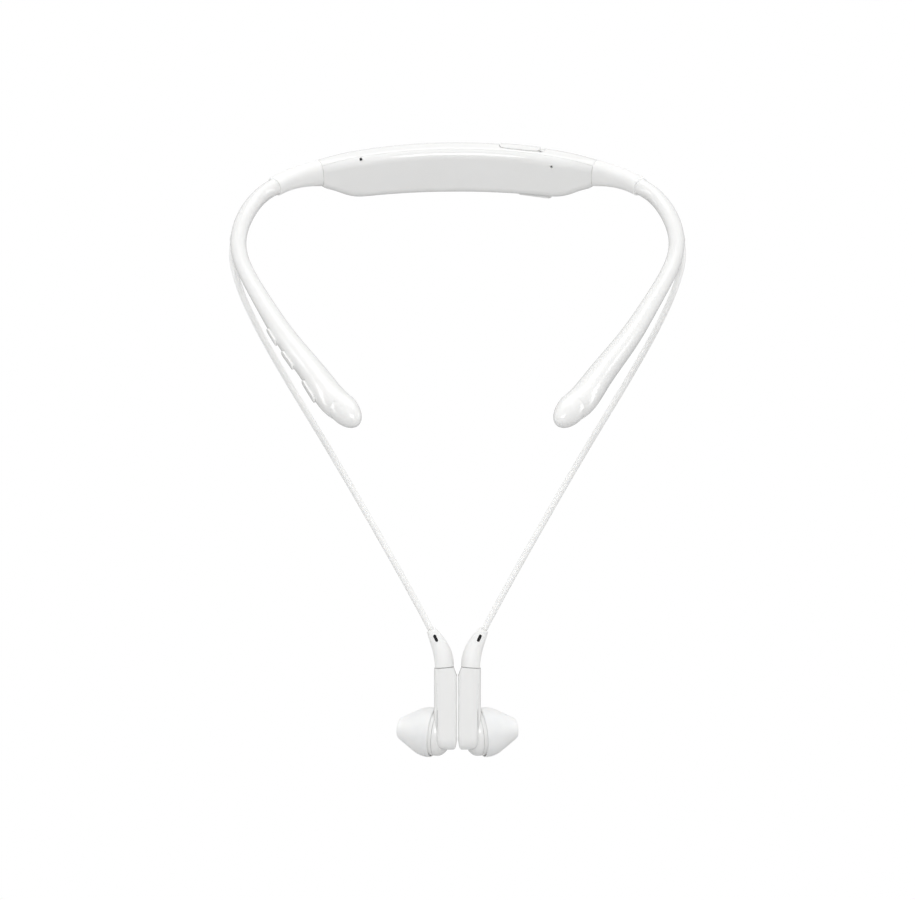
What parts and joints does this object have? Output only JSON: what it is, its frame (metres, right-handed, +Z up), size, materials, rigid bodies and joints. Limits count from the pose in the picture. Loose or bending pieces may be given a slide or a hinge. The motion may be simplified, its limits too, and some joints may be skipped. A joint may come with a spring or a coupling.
{
  "type": "neckband earphones",
  "caption": "Curved neckband with sprung arms on soft sleeves, side keys, a power slider, and corded in-ear buds that rest back to back.",
  "frame": {"origin": "middle of the housing's inner face, where it rests on the nape of the neck", "axes": "+X to the viewer's right as the wearer faces the viewer, +Y towards the wearer's back, +Z up"},
  "size_m": [0.1488, 0.1385, 0.2038],
  "materials": {
    "white_plastic": "glossy white ABS",
    "white_rubber": "satin white rubber",
    "silicone": "soft white silicone",
    "cord_jacket": "satin white jacket",
    "spring_steel": "plain spring steel",
    "plated_steel": "nickel-plated steel",
    "dark_mesh": "fine black mesh",
    "circuit_board": "green glass-epoxy board",
    "black_plastic": "black moulded plastic",
    "battery_foil": "silver laminate pouch",
    "magnet_nickel": "nickel-plated magnet",
    "wire_insulation": "insulated stranded wire"
  },
  "bodies": {
    "housing": {"housing_inner_cover": "white_plastic", "housing_outer_shell": "white_plastic", "power_switch": "black_plastic", "battery_cell": "battery_foil", "vibration_motor": "plated_steel", "main_board": "circuit_board", "board_screws": "plated_steel", "radio_shield": "plated_steel", "usb_receptacle": "plated_steel", "microphones": "plated_steel", "mic_screens": "dark_mesh", "flex_sleeve_left": "white_rubber", "flex_sleeve_right": "white_rubber", "spring_strip_left": "spring_steel", "spring_strip_right": "spring_steel", "wire_loom_left": "wire_insulation", "wire_loom_right": "wire_insulation"},
    "slider_knob": {"power_slider": "white_plastic"},
    "port_flap": {"usb_flap": "white_rubber"},
    "arm_right": {"arm_upper_shell_right": "white_plastic", "arm_lower_shell_right": "white_plastic", "cord_gland_right": "white_rubber"},
    "arm_left": {"arm_upper_shell_left": "white_plastic", "arm_lower_shell_left": "white_plastic", "cord_gland_left": "white_rubber", "key_board": "circuit_board", "key_switches": "plated_steel"},
    "volume_up": {"volume_up_key": "white_plastic"},
    "volume_down": {"volume_down_key": "white_plastic"},
    "play": {"play_key": "white_plastic"},
    "earbud_right": {"cord_right": "cord_jacket", "boot_right": "white_rubber", "boot_vent_right": "dark_mesh", "stem_shell_right": "white_plastic", "stem_cover_right": "white_plastic", "magnet_right": "magnet_nickel", "capsule_rear_right": "white_plastic", "capsule_front_right": "white_plastic", "speaker_driver_right": "black_plastic", "nozzle_mesh_right": "dark_mesh"},
    "tip_right": {"ear_tip_right": "silicone"},
    "earbud_left": {"cord_left": "cord_jacket", "boot_left": "white_rubber", "boot_vent_left": "dark_mesh", "stem_shell_left": "white_plastic", "stem_cover_left": "white_plastic", "magnet_left": "magnet_nickel", "capsule_rear_left": "white_plastic", "capsule_front_left": "white_plastic", "speaker_driver_left": "black_plastic", "nozzle_mesh_left": "dark_mesh"},
    "tip_left": {"ear_tip_left": "silicone"}
  },
  "joints": [
    {"name": "arm_right_spring", "type": "hinge", "parent": "housing", "child": "arm_right", "pos_m": [0.05444, -0.00889, -0.00646], "axis": [0, -0.5878, 0.809], "range_deg": [0, 15], "stiffness_Nm_per_rad": 0.3, "springref_deg": -3, "deforming": ["flex_sleeve_right", "spring_strip_right", "wire_loom_right"]},
    {"name": "earbud_right_swing", "type": "hinge", "parent": "arm_right", "child": "earbud_right", "pos_m": [0.07366, -0.03514, -0.02961], "axis": [0, -1, 0], "range_deg": [0, 25], "deforming": ["cord_right"]},
    {"name": "tip_right_pull", "type": "slide", "parent": "earbud_right", "child": "tip_right", "axis": [0.9606, 0.2574, 0.1045], "range_m": [0, 0.005]},
    {"name": "arm_left_spring", "type": "hinge", "parent": "housing", "child": "arm_left", "pos_m": [-0.05444, -0.00889, -0.00646], "axis": [0, 0.5878, -0.809], "range_deg": [0, 15], "stiffness_Nm_per_rad": 0.3, "springref_deg": -3, "deforming": ["flex_sleeve_left", "spring_strip_left", "wire_loom_left"]},
    {"name": "earbud_left_swing", "type": "hinge", "parent": "arm_left", "child": "earbud_left", "pos_m": [-0.07366, -0.03514, -0.02961], "axis": [0, 1, 0], "range_deg": [0, 25], "deforming": ["cord_left"]},
    {"name": "tip_left_pull", "type": "slide", "parent": "earbud_left", "child": "tip_left", "axis": [-0.9606, 0.2574, 0.1045], "range_m": [0, 0.005]},
    {"name": "power_slide", "type": "slide", "parent": "housing", "child": "slider_knob", "axis": [0.9789, -0.1652, -0.12], "range_m": [0, 0.0016]},
    {"name": "flap_open", "type": "hinge", "parent": "housing", "child": "port_flap", "pos_m": [0.03232, 0.00727, -0.01083], "axis": [-0.2497, -0.7834, -0.5692], "range_deg": [0, 100]},
    {"name": "volume_up_press", "type": "slide", "parent": "arm_left", "child": "volume_up", "axis": [0.9031, 0.3474, 0.2524], "range_m": [0, 0.0004], "stiffness_N_per_m": 2000, "springref_m": -0.0003},
    {"name": "volume_down_press", "type": "slide", "parent": "arm_left", "child": "volume_down", "axis": [0.9031, 0.3474, 0.2524], "range_m": [0, 0.0004], "stiffness_N_per_m": 2000, "springref_m": -0.0003},
    {"name": "play_press", "type": "slide", "parent": "arm_left", "child": "play", "axis": [0.9031, 0.3474, 0.2524], "range_m": [0, 0.0004], "stiffness_N_per_m": 2000, "springref_m": -0.0003}
  ]
}
